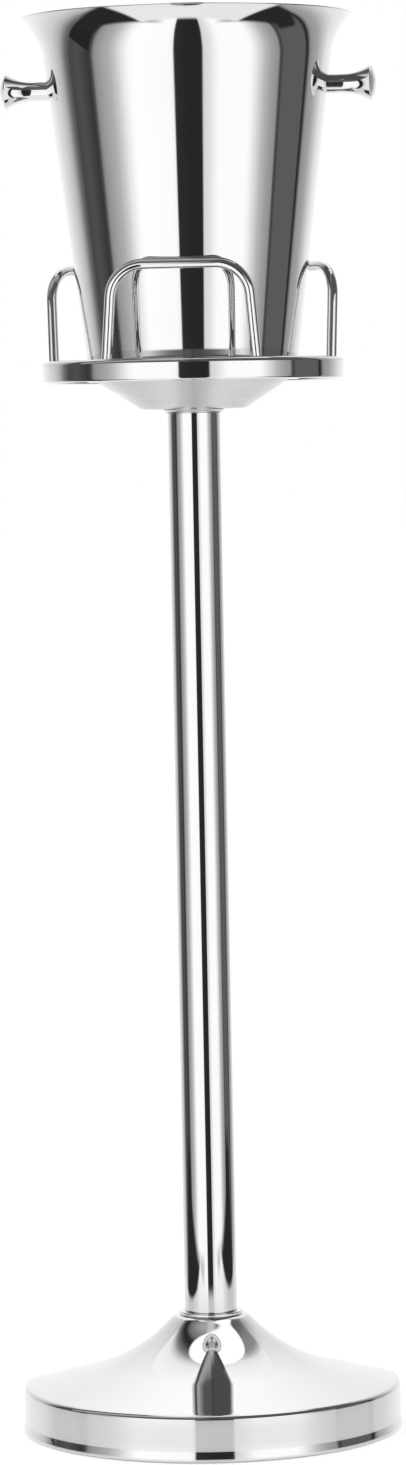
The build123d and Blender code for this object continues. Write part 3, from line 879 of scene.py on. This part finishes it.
def ceiling_light(nodes, right, away, up, bounces):
    """Brightness of the ceiling and its soft box."""
    height = nodes.math("MAXIMUM", up, CEILING_LOWEST)
    across = nodes.math("DIVIDE", right, height)
    behind = nodes.math("DIVIDE", away, height)
    sideways = nodes.math("ABSOLUTE", across)
    left_behind = nodes.math("SUBTRACT", behind, nodes.math("MULTIPLY", sideways, LEFT_SLANT))
    right_behind = nodes.math("SUBTRACT", behind, nodes.math("MULTIPLY", sideways, RIGHT_SLANT))
    sides = nodes.blend(
        nodes.math("GREATER_THAN", across, 0.0),
        level_ramp(nodes, left_behind, -1.0, 1.0, LEFT_CEILING),
        level_ramp(nodes, right_behind, -1.0, 1.0, RIGHT_CEILING),
    )
    middle = level_ramp(nodes, behind, -1.0, 1.0, CEILING)
    ceiling = nodes.blend(nodes.above(sideways, MIDDLE_REACH, MIDDLE_BLUR), middle, sides)
    (centre_x, centre_y), (radius_x, radius_y) = SOFT_BOX_CENTRE, SOFT_BOX_RADII
    box_x = nodes.math("DIVIDE", nodes.math("SUBTRACT", across, centre_x), radius_x)
    box_y = nodes.math("DIVIDE", nodes.math("SUBTRACT", behind, centre_y), radius_y)
    in_box = nodes.under(nodes.squares(box_x, box_y), SOFT_BOX_EDGE, SOFT_BOX_EDGE_BLUR)
    twice = nodes.math("GREATER_THAN", bounces, FIRST_REFLECTION_BOUNCES)
    soft_box = nodes.blend(twice, grey(1.0), grey(SOFT_BOX_SECOND_LEVEL))
    return nodes.blend(in_box, ceiling, soft_box)


def make_world():
    """White backdrop for the camera; panels and ceiling for reflections; even light otherwise."""
    world = bpy.data.worlds.new("studio")
    bpy.context.scene.world = world
    world.use_nodes = True
    world.cycles.sampling_method = "NONE"  # the light on dull surfaces is even, so needs no map
    nodes = Nodes(world.node_tree)
    paths = nodes.add("ShaderNodeLightPath").outputs

    direction = nodes.add("ShaderNodeTexCoord").outputs["Generated"]
    turn = {"rotation_type": "Z_AXIS"}
    facing = nodes.add("ShaderNodeVectorRotate", turn, Vector=direction, Angle=-CAMERA_BEARING)
    right, away, up = nodes.split(facing.outputs[0])
    toward = nodes.math("MULTIPLY", away, -1.0)
    bearing = nodes.math("DEGREES", nodes.math("ARCTAN2", right, toward))

    panel_top, backdrop_top = [math.sin(math.radians(top)) for top in (PANEL_TOP, BACKDROP_TOP)]
    top = nodes.fade(nodes.math("ABSOLUTE", bearing), *TOP_CLIMB, panel_top, backdrop_top)
    over_top = nodes.above(nodes.math("SUBTRACT", up, top), 0.0, TOP_BLUR)
    ring = panel_ring(nodes, bearing, up)
    panels = nodes.blend(over_top, ring, ceiling_light(nodes, right, away, up, paths["Ray Depth"]))
    lit = nodes.add("ShaderNodeVectorMath", {"operation": "SCALE"}, _0=panels, Scale=PANEL_GAIN)
    seen = nodes.blend(paths["Is Glossy Ray"], grey(EVEN_LIGHT), lit.outputs[0])
    seen = nodes.blend(paths["Is Camera Ray"], seen, grey(1.0))
    nodes.put(world.node_tree.nodes["Background"].inputs["Color"], seen)


def floor_reflection(nodes):
    """What mirrors see of the floor: glossy paper, dark floor beside it, else the panels."""
    x, y, _ = nodes.split(nodes.place())
    sideways = nodes.math("ABSOLUTE", nodes.math("SUBTRACT", x, PAPER_CENTRE_X))
    on_width = nodes.under(sideways, PAPER_HALF_WIDTH, PAPER_SIDE_BLUR)
    on_length = nodes.fade(y, -PAPER_FRONT, -PAPER_LIT, 0.0, 1.0)
    on_paper = nodes.math("MULTIPLY", on_width, on_length)

    panel_foot = nodes.math("MULTIPLY", sideways, PANEL_FOOT_SLOPE)
    panel_foot = nodes.math("ADD", panel_foot, PANEL_FOOT_MIDDLE)
    panel_foot = nodes.math("MINIMUM", panel_foot, PANEL_FOOT_FURTHEST)
    on_dark = nodes.above(nodes.math("SUBTRACT", y, panel_foot), 0.0, PANEL_FOOT_BLUR)
    for within in (
        nodes.under(y, DARK_FLOOR_BACK, DARK_FLOOR_BACK_BLUR),
        nodes.under(sideways, DARK_FLOOR_END, DARK_FLOOR_END_BLUR),
        nodes.above(sideways, DARK_FLOOR_START, DARK_FLOOR_START_BLUR),
    ):
        on_dark = nodes.math("MULTIPLY", on_dark, within)

    clear = nodes.add("ShaderNodeBsdfTransparent").outputs[0]
    dark = nodes.add("ShaderNodeEmission", Color=grey(DARK_FLOOR_LEVEL)).outputs[0]
    bright = nodes.add("ShaderNodeEmission", Color=grey(PAPER_LEVEL)).outputs[0]
    gloss = nodes.add("ShaderNodeBsdfGlossy", Color=grey(1.0), Roughness=PAPER_GLOSS_ROUGHNESS)
    sheen = nodes.add("ShaderNodeFresnel", IOR=PAPER_IOR).outputs[0]
    paper = nodes.mix(sheen, bright, gloss.outputs[0])
    return nodes.mix(on_paper, nodes.mix(on_dark, clear, dark), paper)


def make_floor():
    """A wide pale floor, which is white for the camera."""
    mesh_data = bmesh.new()
    bmesh.ops.create_circle(mesh_data, cap_ends=True, segments=96, radius=FLOOR_RADIUS)
    mesh = bpy.data.meshes.new("floor")
    mesh_data.to_mesh(mesh)
    mesh_data.free()
    floor = bpy.data.objects.new("floor", mesh)
    bpy.context.scene.collection.objects.link(floor)
    floor.rotation_euler.z = CAMERA_BEARING

    fibres = grain(300.0, 3.0)
    material = finish(
        "floor_paper",
        Base_Color=lambda n: n.blend(fibres(n), grey(0.915), grey(0.935)),
        Roughness=1.0,
        Specular_IOR_Level=0.0,
    )
    nodes = Nodes(material.node_tree)
    paths = nodes.add("ShaderNodeLightPath").outputs
    surface = material.node_tree.nodes["Principled BSDF"].outputs[0]
    glow = nodes.add("ShaderNodeEmission", Color=grey(1.0), Strength=FLOOR_GLOW).outputs[0]
    lifted = nodes.add("ShaderNodeAddShader", _0=surface, _1=glow).outputs[0]
    seen = nodes.mix(paths["Is Camera Ray"], surface, lifted)
    shown = nodes.mix(paths["Is Glossy Ray"], seen, floor_reflection(nodes))
    nodes.put(material.node_tree.nodes["Material Output"].inputs["Surface"], shown)
    floor.data.materials.append(material)


def make_camera():
    """A long lens just below the tray's height, a little to the right of the object's front."""
    data = bpy.data.cameras.new("camera")
    camera = bpy.data.objects.new("camera", data)
    bpy.context.scene.collection.objects.link(camera)
    data.lens = CAMERA_LENS
    data.clip_end = CAMERA_REACH
    camera.location = (
        CAMERA_DISTANCE * math.sin(CAMERA_BEARING),
        -CAMERA_DISTANCE * math.cos(CAMERA_BEARING),
        CAMERA_HEIGHT,
    )
    look = (AIM - camera.location).to_track_quat("-Z", "Y").to_matrix().to_4x4()
    camera.rotation_mode = "QUATERNION"
    camera.rotation_quaternion = (look @ Matrix.Rotation(-CAMERA_ROLL, 4, "Z")).to_quaternion()
    bpy.context.scene.camera = camera


# ---------------------------------------------------------------- build
paint_cad_nodes()
bucket_body = make_bucket()
tray_body = make_tray()
pieces = [bucket_body, tray_body, make_pole(), make_foot_ring(), make_base()]
pieces.append(make_knob("knob_right_body", "knob_right", 1))
pieces.append(make_knob("knob_left_body", "knob_left", -1))
pieces += [make_hoop(name, turn) for name, turn in HOOP_TURNS.items()]
for piece in pieces:
    paint(piece, FINISHES["polished_steel"])
paint(make_collar(), FINISHES["satin_steel"])
paint_underside(tray_body)

make_world()
make_floor()
make_camera()
bpy.context.scene.view_settings.view_transform = "Standard"
